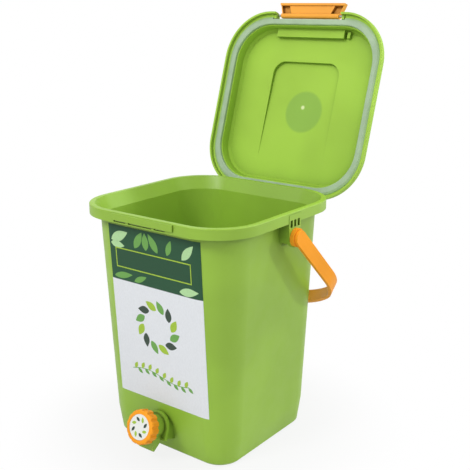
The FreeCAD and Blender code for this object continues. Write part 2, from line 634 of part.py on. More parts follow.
def build_latch():
    """Drawn shut, hook under the catch bar."""
    body = new_body("latch_flap", LATCH_RAISED)
    side = sketch_on(body, "LatchSide", "YZ")
    outline(side, [
        ("-latch_front", "latch_bottom"),
        ("-latch_hook", "latch_bottom"),
        ("-latch_hook", "latch_bottom + hook_thick"),
        ("-latch_inner", "latch_bottom + hook_thick"),
        ("-latch_inner", "latch_z - latch_knuckle"),
        ("-latch_y", "latch_z - latch_knuckle", "-latch_y", "latch_z", 1),
        ("-latch_y", "latch_z + latch_knuckle"),
        ("-latch_y - 3", "latch_z + latch_knuckle"),
        ("-latch_front", "latch_z + 0.5"),
    ])
    pad(body, side, "2 * latch_half_free", both=True)
    ends = sketch_on(body, "LatchEnds", "XZ")
    for sign in ("", "-"):
        outline(ends, [
            (f"{sign}latch_half_top", "latch_z + 6"),
            (f"{sign}latch_half_top", "latch_z"),
            (f"{sign}latch_half_free", "latch_bottom - 1"),
            (f"{sign}(latch_half_free + 4)", "latch_bottom - 1"),
            (f"{sign}(latch_half_free + 4)", "latch_z + 6"),
        ])
    pocket(body, ends, "2 * rim_depth", both=True)
    # Pockets on the back, between the block in the middle and the end walls.
    pockets = sketch_on(body, "LatchPockets", "XZ", "latch_inner")
    low, high = "latch_bottom + hook_thick + 0.4", "latch_z - latch_knuckle - 0.4"
    for sign in ("", "-"):
        outline(pockets, [
            (f"{sign}block_half_free", low),
            (f"{sign}(latch_half_free - 1.4 - latch_cheek)", low),
            (f"{sign}(latch_half_top + 1.2 - latch_cheek)", high),
            (f"{sign}block_half_top", high),
        ])
    pocket(body, pockets, "latch_pocket", back=True)
    bore = sketch_on(body, "LatchBore", "YZ")
    circle(bore, "-latch_y", "latch_z", "latch_pin_radius + 0.08")
    pocket(body, bore, "3 * latch_half_free", both=True)
    return body


def build_latch_pin():
    pin = doc.addObject("Part::Cylinder", "latch_pin")
    pin.Label = "latch_pin"
    pin.setExpression("Radius", bound("latch_pin_radius"))
    pin.setExpression("Height", bound("2 * notch_half + 6"))
    half = number("notch_half + 3")
    along_x = FreeCAD.Rotation(FreeCAD.Vector(0, 1, 0), 90)
    pin.Placement = LID_OPEN.multiply(FreeCAD.Placement(LATCH - FreeCAD.Vector(half, 0, 0), along_x))
    return pin


def build_hinge_pin(label, side):
    """Pin with a head at its outer end."""
    body = new_body(label, FreeCAD.Placement(HINGE, FreeCAD.Rotation(FreeCAD.Vector(0, 0, 1), -90 * side)))
    inner = "hinge_mid - knuckle_length / 2 - ear_gap - ear_thick - 1"
    outer = "hinge_mid + knuckle_length / 2 + ear_gap + ear_thick"
    profile = sketch_on(body, "PinProfile" + label[-4:].strip("_"), "XY")
    outline(profile, [
        ("0", inner),
        ("pin_radius", inner),
        ("pin_radius", outer),
        ("pin_head", outer),
        ("pin_head", f"{outer} + 1.5"),
        ("0", f"{outer} + 1.5"),
    ])
    revolve(body, profile)
    return body


def strap_half(sketch):
    """Right half of the handle strap: straight arm, bend and half of the crown, outside and inside lines."""
    half, lean = number("bail_half"), math.radians(number("bail_lean"))
    arm, bend = number("bail_arm"), number("bail_bend")
    crown, thick = number("bail_crown"), number("bail_thick")
    across = FreeCAD.Vector(-math.cos(lean), math.sin(lean), 0)
    foot = FreeCAD.Vector(half, 0, 0)
    knee = foot + FreeCAD.Vector(math.sin(lean), math.cos(lean), 0) * arm
    bend_middle = knee + across * bend
    rise = math.sqrt((crown - bend) ** 2 - bend_middle.x ** 2)
    crown_middle = FreeCAD.Vector(0, bend_middle.y - rise, 0)
    away = (bend_middle - crown_middle).normalize()
    turn = math.atan2(away.y, away.x)
    up = FreeCAD.Vector(0, 0, 1)
    lines, bends, crowns = [], [], []
    for inset in (0.0, thick):
        inner_foot = FreeCAD.Vector(half - inset / math.cos(lean), 0, 0)
        lines.append(sketch.addGeometry(Part.LineSegment(inner_foot, knee + across * inset)))
        bends.append(sketch.addGeometry(
            Part.ArcOfCircle(Part.Circle(bend_middle, up, bend - inset), -lean, turn)))
        crowns.append(sketch.addGeometry(
            Part.ArcOfCircle(Part.Circle(crown_middle, up, crown - inset), turn, math.pi / 2)))
    top = crown_middle.y + crown
    cap = sketch.addGeometry(Part.LineSegment(FreeCAD.Vector(0, top, 0), FreeCAD.Vector(0, top - thick, 0)))
    end = sketch.addGeometry(Part.LineSegment(FreeCAD.Vector(half - thick / math.cos(lean), 0, 0), foot))
    add = sketch.addConstraint
    for line, arc, crest in zip(lines, bends, crowns):
        add(Sketcher.Constraint("Tangent", line, 2, arc, 1))
        add(Sketcher.Constraint("Tangent", arc, 2, crest, 1))
        add(Sketcher.Constraint("PointOnObject", line, 1, -1))
        add(Sketcher.Constraint("PointOnObject", crest, 2, -2))
    add(Sketcher.Constraint("Coincident", bends[0], 3, bends[1], 3))
    add(Sketcher.Constraint("Coincident", crowns[0], 3, crowns[1], 3))
    add(Sketcher.Constraint("PointOnObject", crowns[0], 3, -2))
    add(Sketcher.Constraint("Coincident", cap, 1, crowns[0], 2))
    add(Sketcher.Constraint("Coincident", cap, 2, crowns[1], 2))
    add(Sketcher.Constraint("Coincident", end, 1, lines[1], 1))
    add(Sketcher.Constraint("Coincident", end, 2, lines[0], 1))
    bind(sketch, Sketcher.Constraint("DistanceX", -1, 1, lines[0], 1, half), "bail_half")
    bind(sketch, Sketcher.Constraint("DistanceX", lines[0], 1, lines[0], 2, arm * math.sin(lean)),
         "bail_arm * sin(bail_lean)")
    bind(sketch, Sketcher.Constraint("Distance", lines[0], arm), "bail_arm")
    bind(sketch, Sketcher.Constraint("Radius", bends[0], bend), "bail_bend")
    bind(sketch, Sketcher.Constraint("Radius", bends[1], bend - thick), "bail_bend - bail_thick")
    bind(sketch, Sketcher.Constraint("Radius", crowns[0], crown), "bail_crown")


def build_bail():
    """Strap handle; in its own frame the arms run along Y from the pivot axis X."""
    body = new_body("bail_handle", BAIL_HANGING)
    half_strap = sketch_on(body, "BailStrap", "XY")
    strap_half(half_strap)
    strap = pad(body, half_strap, "bail_width", both=True)
    doc.recompute()
    mirror = body.newObject("PartDesign::Mirrored", "BailMirror")
    mirror.Originals = [strap]
    mirror.MirrorPlane = (half_strap, ["V_Axis"])
    body.Tip = mirror
    for side, name in ((1, "Right"), (-1, "Left")):
        # Round end, disc against the boss, peg through its plate and head behind it.
        for step, radius, outer, inner in (
            ("Eye", "bail_width / 2", "bail_half", "bail_half - bail_thick"),
            ("Disc", "bail_disc", "bail_half - bail_thick + 0.2", "boss_face + side_gap"),
            ("Peg", "peg_radius", "boss_face + 1", "boss_face - boss_plate - side_gap - 2"),
            ("Head", "peg_head", "boss_face - boss_plate - side_gap",
             "boss_face - boss_plate - side_gap - 2"),
        ):
            face = sketch_on(body, "Bail" + step + name, "YZ", f"{side} * ({outer})")
            circle(face, "0", "0", radius)
            pad(body, face, f"({outer}) - ({inner})", back=side > 0)
    return body


def turned(label, profile, placement=TAP_FRAME):
    """Body of revolution about the tap axis from (radius, depth) corners."""
    body = new_body(label, placement)
    sketch = sketch_on(body, label.title().replace("_", "") + "Profile", "XY")
    outline(sketch, profile)
    revolve(body, sketch)
    return body


def build_tap_body():
    body = turned("tap_body", [
        ("tap_inlet", "chamber_end"),
        ("tap_inlet", "tap_end"),
        ("tap_tail", "tap_end"),
        ("tap_tail", "flange_front + 1"),
        ("bonnet_radius", "flange_front + 1"),
        ("bonnet_radius", "bonnet_front"),
        ("chamber_radius", "bonnet_front"),
        ("chamber_radius", "chamber_end"),
    ])
    # Arched flange with a raised border.
    flange = sketch_on(body, "TapFlange", "XZ", "-flange_front")
    arch(flange, "flange_half", "flange_legs")
    pad(body, flange, "flange_back - flange_front", back=True)
    border = sketch_on(body, "FlangeBorder", "XZ", "-flange_front")
    arch(border, "flange_half", "flange_legs")
    arch(border, "flange_half - flange_border", "flange_legs - flange_border")
    pad(body, border, "flange_rise")
    # Spout that hangs straight down from the tilted barrel, with a slanting mouth.
    spout = sketch_on(body, "SpoutSide", "YZ")
    outline(spout, [
        ("bonnet_front + 1", "-4"),
        ("spout_lip - 0.6", "-spout_drop"),
        ("spout_lip + 1.4", "-spout_drop"),
        ("flange_front - 1", "-spout_drop + 9.5"),
        ("flange_front - 1", "-4"),
    ])
    pad(body, spout, "2 * spout_half", both=True)
    doc.recompute()
    chamber = sketch_on(body, "ChamberBore", "XZ", "-bonnet_front + 1")
    circle(chamber, "0", "0", "chamber_radius")
    pocket(body, chamber, "chamber_end - bonnet_front + 1")
    duct = sketch_on(body, "SpoutDuct", "YZ")
    outline(duct, [
        ("spout_lip - 5.8", "-6"),
        ("spout_lip + 1.2", "-spout_drop - 1"),
        ("spout_lip + 4", "-spout_drop - 1"),
        ("flange_front - 2.8", "-spout_drop + 8"),
        ("flange_front - 2.8", "-6"),
    ])
    pocket(body, duct, "2 * spout_half - 4", both=True)
    return body


def build_gasket():
    """Flat gasket behind the tap flange, a little smaller than it."""
    body = new_body("tap_gasket", TAP_FRAME)
    face = sketch_on(body, "GasketFace", "XZ", "-flange_back")
    arch(face, "flange_half - 1", "flange_legs - 1")
    circle(face, "0", "0", "tap_hole")
    pad(body, face, "tap_boss_face - flange_back", back=True)
    return body


def ring(label, inner, outer, front, back):
    return turned(label, [(inner, front), (outer, front), (outer, back), (inner, back)])


def build_nut():
    body = new_body("tap_nut", TAP_FRAME)
    hexagon = sketch_on(body, "NutFace", "XZ", "-tap_pad_face - 1.4")
    reach = "(tap_pad_radius - 1)"
    corners = [(f"{reach} * cos({angle})", f"{reach} * sin({angle})") for angle in range(0, 360, 60)]
    outline(hexagon, corners)
    circle(hexagon, "0", "0", "tap_tail + 0.03")
    pad(body, hexagon, "7", back=True)
    return body


def build_knob():
    body = turned("tap_knob", [
        ("1.8", "4"),
        ("4.2", "4"),
        ("4.2", "1.5"),
        ("disc_radius + 0.2", "1.5"),
        ("disc_radius + 0.2", "0"),
        ("knob_radius - 2.6", "0"),
        ("knob_radius - 0.8", "0.8"),
        ("knob_radius", "2.6"),
        ("knob_radius", "knob_depth"),
        ("knob_radius - 3.4", "knob_depth"),
        ("knob_radius - 3.4", "5"),
        ("7", "5"),
        ("7", "knob_depth"),
        ("1.8", "knob_depth"),
    ])
    socket = sketch_on(body, "StemSocket", "XZ", "-knob_depth")
    rectangle(socket, "-stem_half - 0.1", "stem_half + 0.1", "-stem_half - 0.1", "stem_half + 0.1")
    pocket(body, socket, "knob_depth - 6", back=True)
    flute = sketch_on(body, "KnobFlute", "XZ", "1")
    circle(flute, "0", "knob_radius + 1.2", "flute_radius")
    cut = pocket(body, flute, "knob_depth + 2")
    doc.recompute()
    pattern = body.newObject("PartDesign::PolarPattern", "KnobFlutes")
    pattern.Originals = [cut]
    pattern.Axis = (flute, ["N_Axis"])
    pattern.Angle = 360
    pattern.Occurrences = 14
    body.Tip = pattern
    return body


def build_plug():
    body = turned("valve_plug", [
        ("0", "plug_front"),
        ("plug_radius", "plug_front"),
        ("plug_radius", "plug_front + 1.1"),
        ("plug_radius - 1.85", "plug_front + 1.1"),
        ("plug_radius - 1.85", "plug_front + 3.1"),
        ("plug_radius", "plug_front + 3.1"),
        ("plug_radius", "plug_end - 3.1"),
        ("plug_radius - 1.85", "plug_end - 3.1"),
        ("plug_radius - 1.85", "plug_end - 1.1"),
        ("plug_radius", "plug_end - 1.1"),
        ("plug_radius", "plug_end"),
        ("0", "plug_end"),
    ])
    stem = sketch_on(body, "PlugStem", "XZ", "-plug_front - 0.5")
    rectangle(stem, "-stem_half", "stem_half", "-stem_half", "stem_half")
    pad(body, stem, "plug_front - 6")
    pilot = sketch_on(body, "PlugPilot", "XZ", "-6")
    circle(pilot, "0", "0", "1.55")
    pocket(body, pilot, "8.5")
    way = sketch_on(body, "PlugWay", "XZ", "-plug_end")
    circle(way, "0", "0", "tap_inlet - 0.5")
    pocket(body, way, "11.5", back=True)
    port = sketch_on(body, "PlugPort", "YZ")
    circle(port, "(plug_front + plug_end) / 2", "0", "3.4")
    pocket(body, port, "plug_radius + 2", back=True)
    return body


def build_plug_seal(label, depth):
    seal = doc.addObject("Part::Torus", label)
    seal.Label = label
    seal.setExpression("Radius1", bound("chamber_radius - ring_radius - 0.06"))
    seal.setExpression("Radius2", bound("ring_radius - 0.05"))
    turn = FreeCAD.Rotation(ABOUT_X, 90)
    seal.Placement = TAP_FRAME.multiply(FreeCAD.Placement(FreeCAD.Vector(0, number(depth), 0), turn))
    return seal


def build_screw():
    return turned("knob_screw", [
        ("0", "1.8"),
        ("2.6", "1.8"),
        ("3.6", "2.6"),
        ("3.6", "4"),
        ("1.5", "4"),
        ("1.5", "13"),
        ("0", "13"),
    ])


nodes = [
    build_bin(),
    build_label(),
    build_strainer(),
    build_strainer_leg("strainer_leg_front_left", -1, -1),
    build_strainer_leg("strainer_leg_front_right", 1, -1),
    build_strainer_leg("strainer_leg_back_left", -1, 1),
    build_strainer_leg("strainer_leg_back_right", 1, 1),
    build_lid(),
    build_seal(),
    build_latch(),
    build_latch_pin(),
    build_hinge_pin("hinge_pin_left", -1),
    build_hinge_pin("hinge_pin_right", 1),
    build_bail(),
    build_tap_body(),
    build_gasket(),
    ring("tap_washer", "tap_hole", "tap_pad_radius - 2", "tap_pad_face", "tap_pad_face + 1.4"),
    build_nut(),
    build_knob(),
    turned("knob_disc", [("0", "0.3"), ("disc_radius", "0.3"), ("disc_radius", "1.5"), ("0", "1.5")]),
    build_screw(),
    build_plug(),
    build_plug_seal("plug_seal_front", "plug_front + 2.1"),
    build_plug_seal("plug_seal_rear", "plug_end - 2.1"),
]
doc.recompute()

for item in doc.Objects:
    if "Invalid" in item.State or "Error" in item.State:
        raise RuntimeError(f"{item.Label} did not build: {item.State}")
os.makedirs("parts", exist_ok=True)
for node in nodes:
    shape = node.Shape
    if shape.isNull() or not shape.isValid() or len(shape.Solids) != 1:
        raise RuntimeError(f"{node.Label} is not one sound solid")
    shape.exportStep(f"parts/{node.Label}.step")
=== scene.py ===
import json
import math

import bmesh
import bpy
from mathutils import Matrix, Vector


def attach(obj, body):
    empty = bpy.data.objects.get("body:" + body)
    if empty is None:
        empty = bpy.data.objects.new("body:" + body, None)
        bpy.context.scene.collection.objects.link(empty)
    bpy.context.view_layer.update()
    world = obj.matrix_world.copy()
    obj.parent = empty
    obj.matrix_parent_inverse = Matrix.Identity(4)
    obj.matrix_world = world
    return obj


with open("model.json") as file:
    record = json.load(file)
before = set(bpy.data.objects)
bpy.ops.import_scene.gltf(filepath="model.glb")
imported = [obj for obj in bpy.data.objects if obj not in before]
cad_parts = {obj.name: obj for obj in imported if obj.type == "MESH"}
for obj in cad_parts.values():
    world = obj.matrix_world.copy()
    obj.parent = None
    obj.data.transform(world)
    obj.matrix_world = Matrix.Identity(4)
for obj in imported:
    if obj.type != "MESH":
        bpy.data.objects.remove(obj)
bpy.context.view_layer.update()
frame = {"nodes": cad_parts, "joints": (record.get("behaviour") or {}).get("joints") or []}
nodes = frame["nodes"]
joints = {joint["name"]: joint for joint in frame["joints"]}
scene = bpy.context.scene
scene.view_settings.view_transform = "Standard"

# Lengths are in metres, apart from those that a comment or docstring gives in millimetres.
MM_PER_METRE = 1000.0


# Colours.
def linear(red, green, blue):
    """Linear colour of 0 to 255 display values."""
    def one(value):
        value /= 255.0
        return value / 12.92 if value <= 0.04045 else ((value + 0.055) / 1.055) ** 2.4
    return one(red), one(green), one(blue), 1.0


def shade(colour, factor):
    """A darker or lighter shade of a colour."""
    return colour[0] * factor, colour[1] * factor, colour[2] * factor, 1.0


WHITE = (1.0, 1.0, 1.0, 1.0)
GREEN = linear(145, 184, 58)
# The lid's green is the bin's green made lighter: painted light on the lid.
LIT_LID_GREEN = linear(165, 205, 73)
STRAINER_GREEN = shade(GREEN, 0.82)
FLOW_GREEN = linear(128, 172, 82)
GATE_PALE = linear(226, 240, 176)
ORANGE = linear(248, 161, 42)
LATCH_ORANGE = linear(252, 174, 66)
TAP_PALE = linear(222, 222, 214)
SEAL_PALE = linear(167, 192, 158)
LIP_PALE = linear(164, 193, 144)
SEAL_DARK = linear(38, 38, 40)
STEEL_DARK = linear(170, 172, 175)
STEEL_LIGHT = linear(212, 214, 216)
PAPER = linear(226, 229, 233)
FILM = linear(232, 234, 228)
HEADER = linear(44, 84, 58)
PLATE = shade(HEADER, 0.92)
PALE_LEAF = linear(178, 218, 160)
MID_LEAF = linear(112, 166, 84)
LIME = linear(164, 196, 66)
DARK_LEAF = linear(62, 78, 66)


# Node trees.
class Nodes:
    """A node tree with short ways to add nodes and link them."""

    def __init__(self, tree):
        self.tree = tree

    def add(self, kind, **settings):
        node = self.tree.nodes.new(kind)
        for key, value in settings.items():
            setattr(node, key, value)
        return node

    def feed(self, target, value):
        """Links a socket to the target, or sets the target to a number, vector or colour."""
        if isinstance(value, bpy.types.NodeSocket):
            self.tree.links.new(value, target)
        else:
            target.default_value = value

    def coordinates(self, kind):
        return self.add("ShaderNodeTexCoord").outputs[kind]

    def part(self, vector, axis):
        """X, Y or Z of a vector."""
        node = self.add("ShaderNodeSeparateXYZ")
        self.feed(node.inputs["Vector"], vector)
        return node.outputs[axis]

    def combine(self, operation, first, second):
        """A math operation on two values, each a number or a socket."""
        node = self.add("ShaderNodeMath", operation=operation)
        self.feed(node.inputs[0], first)
        self.feed(node.inputs[1], second)
        return node.outputs[0]

    def measure(self, operation, *vectors):
        """The number that an operation on one or two vectors gives."""
        node = self.add("ShaderNodeVectorMath", operation=operation)
        for target, vector in zip(node.inputs, vectors):
            self.feed(target, vector)
        return node.outputs["Value"]

    def ramp(self, value, low, high, out_low=0.0, out_high=1.0):
        """A smooth step of a value from one range to another."""
        node = self.add("ShaderNodeMapRange", interpolation_type="SMOOTHSTEP")
        self.feed(node.inputs["Value"], value)
        limits = {"From Min": low, "From Max": high, "To Min": out_low, "To Max": out_high}
        for key, number in limits.items():
            self.feed(node.inputs[key], number)
        return node.outputs["Result"]

    def mix(self, factor, first, second):
        """Mix of two colours, each a colour or a socket."""
        node = self.add("ShaderNodeMix", data_type="RGBA")
        self.feed(node.inputs["Factor"], factor)
        self.feed(node.inputs["A"], first)
        self.feed(node.inputs["B"], second)
        return node.outputs["Result"]

    def mix_shader(self, factor, first, second):
        node = self.add("ShaderNodeMixShader")
        for target, value in zip(node.inputs, (factor, first, second)):
            self.feed(target, value)
        return node.outputs[0]

    def any_ray(self, *kinds):
        """1 for a ray of any of the named kinds."""
        path = self.add("ShaderNodeLightPath")
        total = path.outputs[f"Is {kinds[0]} Ray"]
        for kind in kinds[1:]:
            total = self.combine("MAXIMUM", total, path.outputs[f"Is {kind} Ray"])
        return total


# Ranges of a noise and of a cosine to a direction, and the openness of a recess in full painted shade.
NOISE_LOW, NOISE_HIGH = 0.25, 0.75
FACING_LOW, FACING_HIGH = 0.2, 0.6
SHUT_AT = 0.2
RECESS_SAMPLES = 8


class Shader(Nodes):
    """A material with a principled shader."""

    def __init__(self, name):
        self.material = bpy.data.materials.new(name)
        self.material.use_nodes = True
        super().__init__(self.material.node_tree)
        self.bsdf = self.tree.nodes["Principled BSDF"]
        self.place = self.coordinates("Object")

    def set(self, key, value):
        self.feed(self.bsdf.inputs[key], value)

    def noise(self, scale, detail, stretch=None):
        """Noise over the object's own coordinates; the scale is per metre."""
        node = self.add("ShaderNodeTexNoise")
        self.feed(node.inputs["Scale"], scale)
        self.feed(node.inputs["Detail"], detail)
        source = self.place
        if stretch:
            mapping = self.add("ShaderNodeMapping")
            self.feed(mapping.inputs["Scale"], stretch)
            self.feed(mapping.inputs["Vector"], source)
            source = mapping.outputs["Vector"]
        self.feed(node.inputs["Vector"], source)
        return node.outputs["Fac"]

    def varied(self, noise, colour, width, dark, light):
        """A colour between two of its shades, over a width to each side of the noise's middle."""
        share = self.ramp(noise, 0.5 - width, 0.5 + width)
        return self.mix(share, shade(colour, dark), shade(colour, light))

    def roughness(self, noise, middle, uneven):
        self.set("Roughness", self.ramp(noise, NOISE_LOW, NOISE_HIGH, middle - uneven, middle + uneven))

    def bump(self, height, strength, distance):
        node = self.add("ShaderNodeBump")
        self.feed(node.inputs["Strength"], strength)
        self.feed(node.inputs["Distance"], distance)
        self.feed(node.inputs["Height"], height)
        self.set("Normal", node.outputs["Normal"])

    def near(self, point, radius, soft):
        """1 within a radius of a point, 0 outside it."""
        away = self.measure("DISTANCE", self.place, point)
        return self.ramp(away, radius - soft, radius + soft, 1.0, 0.0)

    def facing(self, direction):
        """1 where the surface faces a direction of the piece's own frame, 0 where it faces away."""
        toward = self.measure("DOT_PRODUCT", self.coordinates("Normal"), direction)
        return self.ramp(toward, FACING_LOW, FACING_HIGH)

    def recess(self, reach, open_at):
        """1 on open surfaces, less in the piece's own recesses within a reach: the mask of the painted shade.
        """
        node = self.add("ShaderNodeAmbientOcclusion", only_local=True, samples=RECESS_SAMPLES)
        self.feed(node.inputs["Distance"], reach)
        return self.ramp(node.outputs["AO"], SHUT_AT, open_at)


# Materials. The painted shade in a recess is a richer colour: its linear values are raised to this power.
RICHER = 1.15


def plastic(name, colour, rough, spread=0.06, gloss=0.5, recess_shade=0.6, reach=0.006, open_at=0.85):
    """Moulded plastic: slow colour drift, painted shade in recesses, fine moulded grain and uneven gloss.

    Recess shade is the share of the colour that is left in a shut recess: painted shade. Reach is how far off
    a wall may be and still close a surface in, and open_at is the openness from which a surface takes no
    painted shade.
    """
    shader = Shader(name)
    drift = shader.noise(scale=9.0, detail=2.0)
    clean = shader.varied(drift, colour, width=0.15, dark=1 - spread, light=1 + spread)
    # Painted shade: in the piece's own recesses the colour falls to a darker, richer copy of itself.
    painted_shade = tuple(value ** RICHER * recess_shade for value in colour[:3]) + (1.0,)
    shader.set("Base Color", shader.mix(shader.recess(reach, open_at), painted_shade, clean))
    shader.set("Specular IOR Level", gloss)
    shader.roughness(shader.noise(scale=60.0, detail=4.0), rough, uneven=0.06)
    shader.bump(shader.noise(scale=1500.0, detail=2.0), strength=0.12, distance=0.0002)
    return shader


def rubber(name, colour, rough):
    """Soft rubber with a faint drift of colour and a fine grain."""
    shader = Shader(name)
    drift = shader.noise(scale=40.0, detail=3.0)
    shader.set("Base Color", shader.varied(drift, colour, width=0.15, dark=0.92, light=1.05))
    shader.roughness(shader.noise(scale=120.0, detail=3.0), rough, uneven=0.08)
    shader.bump(shader.noise(scale=2200.0, detail=2.0), strength=0.15, distance=0.0001)
    return shader


def steel(name):
    """Bright drawn steel with fine lines along X, the length of the hinge and latch pins."""
    shader = Shader(name)
    lines = shader.noise(scale=4000.0, detail=2.0, stretch=(0.02, 1.0, 1.0))
    shader.set("Base Color", shader.mix(lines, STEEL_DARK, STEEL_LIGHT))
    shader.set("Metallic", 1.0)
    shader.roughness(lines, middle=0.31, uneven=0.09)
    shader.bump(lines, strength=0.1, distance=0.00005)
    return shader


PRINT_GLOSS = 0.25

# Height of the lower edge of the label's header, and half the width over which its colour sets in.
HEADER_FOOT = 0.2128
HEADER_SOFT = 0.0004


def paper(name, colour, header=None):
    """Printed paper with faint fibres; with a header, the top of the label is another colour."""
    shader = Shader(name)
    fibres = shader.noise(scale=900.0, detail=5.0, stretch=(1.0, 1.0, 0.35))
    base = shader.varied(fibres, colour, width=0.2, dark=0.97, light=1.02)
    if header:
        height = shader.part(shader.place, "Z")
        band = shader.ramp(height, HEADER_FOOT - HEADER_SOFT, HEADER_FOOT + HEADER_SOFT)
        base = shader.mix(band, base, header)
    shader.set("Base Color", base)
    shader.set("Specular IOR Level", PRINT_GLOSS)
    shader.roughness(fibres, middle=0.56, uneven=0.06)
    shader.bump(fibres, strength=0.08, distance=0.0001)
    return shader


def ink(name, colour):
    """Ink with a fine uneven grain."""
    shader = Shader(name)
    grain = shader.noise(scale=700.0, detail=4.0)
    shader.set("Base Color", shader.varied(grain, colour, width=0.2, dark=0.94, light=1.04))
    shader.set("Specular IOR Level", PRINT_GLOSS)
    shader.roughness(grain, middle=0.525, uneven=0.075)
    shader.bump(grain, strength=0.06, distance=0.0001)
    return shader


# The lid stands open at rest. Its points are given here as if it were shut.
LID_JOINT = joints["lid_hinge"]
HINGE = Vector(LID_JOINT["pos_m"])
OPEN = Matrix.Rotation(math.radians(-LID_JOINT["range_deg"][1]), 3, Vector(LID_JOINT["axis"]))

# Centres of the lid's flow mark and gate mark on the shut lid, in millimetres.
FLOW_MARK = (7.0, 6.7, 322.0)
GATE_MARK = (4.4, 0.6, 322.5)
FLOW_STRENGTH = 0.55


def on_lid(x, y, z):
    """A point of the lid, given as if it were shut, in millimetres."""
    return HINGE + OPEN @ (Vector((x, y, z)) / MM_PER_METRE - HINGE)


def lid_plastic(name):
    """The lid's plastic, with the flow mark and the gate mark of its moulding on the inside."""
    # The lid's painted shade reaches far, darkening its inner walls.
    shader = plastic(name, LIT_LID_GREEN, rough=0.55, gloss=0.22, recess_shade=0.5, reach=0.03, open_at=1.0)
    inside = shader.facing(OPEN @ Vector((0.0, 0.0, -1.0)))
    plain = shader.bsdf.inputs["Base Color"].links[0].from_socket
    flow = shader.near(on_lid(*FLOW_MARK), radius=0.0285, soft=0.0022)
    gate = shader.near(on_lid(*GATE_MARK), radius=0.0026, soft=0.0012)
    flow_share = shader.combine("MULTIPLY", shader.combine("MULTIPLY", flow, inside), FLOW_STRENGTH)
    gate_share = shader.combine("MULTIPLY", gate, inside)
    marked = shader.mix(flow_share, plain, FLOW_GREEN)
    shader.set("Base Color", shader.mix(gate_share, marked, GATE_PALE))
    return shader


# Finish of the solids.
def give(shader, *names):
    """Gives some of the solids a material."""
    for name in names:
        mesh = nodes[name].data
        mesh.materials.clear()
        mesh.materials.append(shader.material)


# Each plastic below takes painted shade in its recesses; the bin's reaches far, for the shade under its rim,
# and the latch's fills the pockets at its ends.
lid_green = lid_plastic("lid_green")
give(plastic("bin_green", GREEN, rough=0.45, recess_shade=0.4, reach=0.035, open_at=1.0), "bin_body", "tap_body")
give(lid_green, "lid_shell")
give(plastic("strainer_green", STRAINER_GREEN, rough=0.5), "strainer_plate",
     "strainer_leg_front_left", "strainer_leg_front_right",
     "strainer_leg_back_left", "strainer_leg_back_right")
give(plastic("orange_plastic", ORANGE, rough=0.42, gloss=0.1, recess_shade=0.5), "bail_handle", "tap_knob")
give(plastic("latch_orange", LATCH_ORANGE, rough=0.42, gloss=0.25, recess_shade=0.25, reach=0.012), "latch_flap")
give(plastic("pale_plastic", TAP_PALE, rough=0.45, spread=0.03), "tap_washer", "tap_nut", "valve_plug")
give(rubber("seal_rubber", SEAL_PALE, rough=0.5), "lid_seal")
give(rubber("dark_rubber", SEAL_DARK, rough=0.6), "tap_gasket", "plug_seal_front", "plug_seal_rear")
give(steel("bright_steel"), "hinge_pin_left", "hinge_pin_right", "latch_pin", "knob_screw")
give(paper("label_paper", PAPER, HEADER), "front_label")
give(paper("disc_film", FILM), "knob_disc")


def crisp(piece, angle):
    """Smooth shading, with a hard edge wherever the surface turns by more than an angle in degrees."""
    data = piece.data
    data.polygons.foreach_set("use_smooth", [True] * len(data.polygons))
    split = piece.modifiers.new("split", "EDGE_SPLIT")
    split.split_angle = math.radians(angle)


# Smooth shading on the solids, with crisp edges and level flats. The angles are in degrees.
SOLID_EDGE = 19
STRIP_EDGE = 40
WELD_GAP = 0.000002
LEVEL_WEIGHT = 90

for node in nodes.values():
    weld = node.modifiers.new("weld", "WELD")
    weld.merge_threshold = WELD_GAP
    crisp(node, SOLID_EDGE)
    level = node.modifiers.new("level", "WEIGHTED_NORMAL")
    level.mode = "FACE_AREA"
    level.weight = LEVEL_WEIGHT


def new_piece(name, mesh, shader):
    """A piece made of a finished mesh, with one material."""
    data = bpy.data.meshes.new(name)
    mesh.to_mesh(data)
    mesh.free()
    data.materials.append(shader.material)
    piece = bpy.data.objects.new(name, data)
    scene.collection.objects.link(piece)
    return piece


# Print on the label and on the knob's disc: all its sizes are in millimetres, its angles in degrees.
# The bin's front wall runs straight from the section at the kink to the section at the neck.
KINK = {"height": 33.0, "width": 190.0, "depth": 184.0, "corner": 33.0}
NECK = {"height": 284.0, "width": 214.0, "depth": 213.6, "corner": 48.0}
LABEL_THICK = 0.35
INK_THICK = 0.05

# The disc's face lies a little behind the joint's point, square to the tap's axis.
TAP_JOINT = joints["tap_turn"]
KNOB_FACE = Vector(TAP_JOINT["pos_m"]) * MM_PER_METRE
KNOB_OUT = Vector(TAP_JOINT["axis"])
KNOB_RIGHT = Vector((1.0, 0.0, 0.0))
KNOB_UP = KNOB_OUT.cross(KNOB_RIGHT)
DISC_DEPTH = 0.3

# A leaf is widest a little nearer its stalk than its tip, and a little fuller than a sine.
LEAF_STEPS = 12
LEAF_BELLY = 0.85
LEAF_FULL = 0.9


def wall_front(x, z):
    """Y of the bin's front wall."""
    share = (z - KINK["height"]) / (NECK["height"] - KINK["height"])
    section = {key: KINK[key] + share * (NECK[key] - KINK[key]) for key in KINK}
    depth, corner = section["depth"], section["corner"]
    over = abs(x) - (section["width"] / 2 - corner)
    if over <= 0:
        return -depth / 2
    return -(depth / 2 - corner) - math.sqrt(corner ** 2 - over ** 2)


def on_label(x, z, lift):
    """A point above the label, in metres."""
    return Vector((x, wall_front(x, z) - LABEL_THICK - lift, z)) / MM_PER_METRE


def on_disc(x, z, lift):
    """A point above the knob's disc, in metres, from its place on the disc."""
    point = KNOB_FACE + KNOB_RIGHT * x + KNOB_UP * z + KNOB_OUT * (lift - DISC_DEPTH)
    return point / MM_PER_METRE


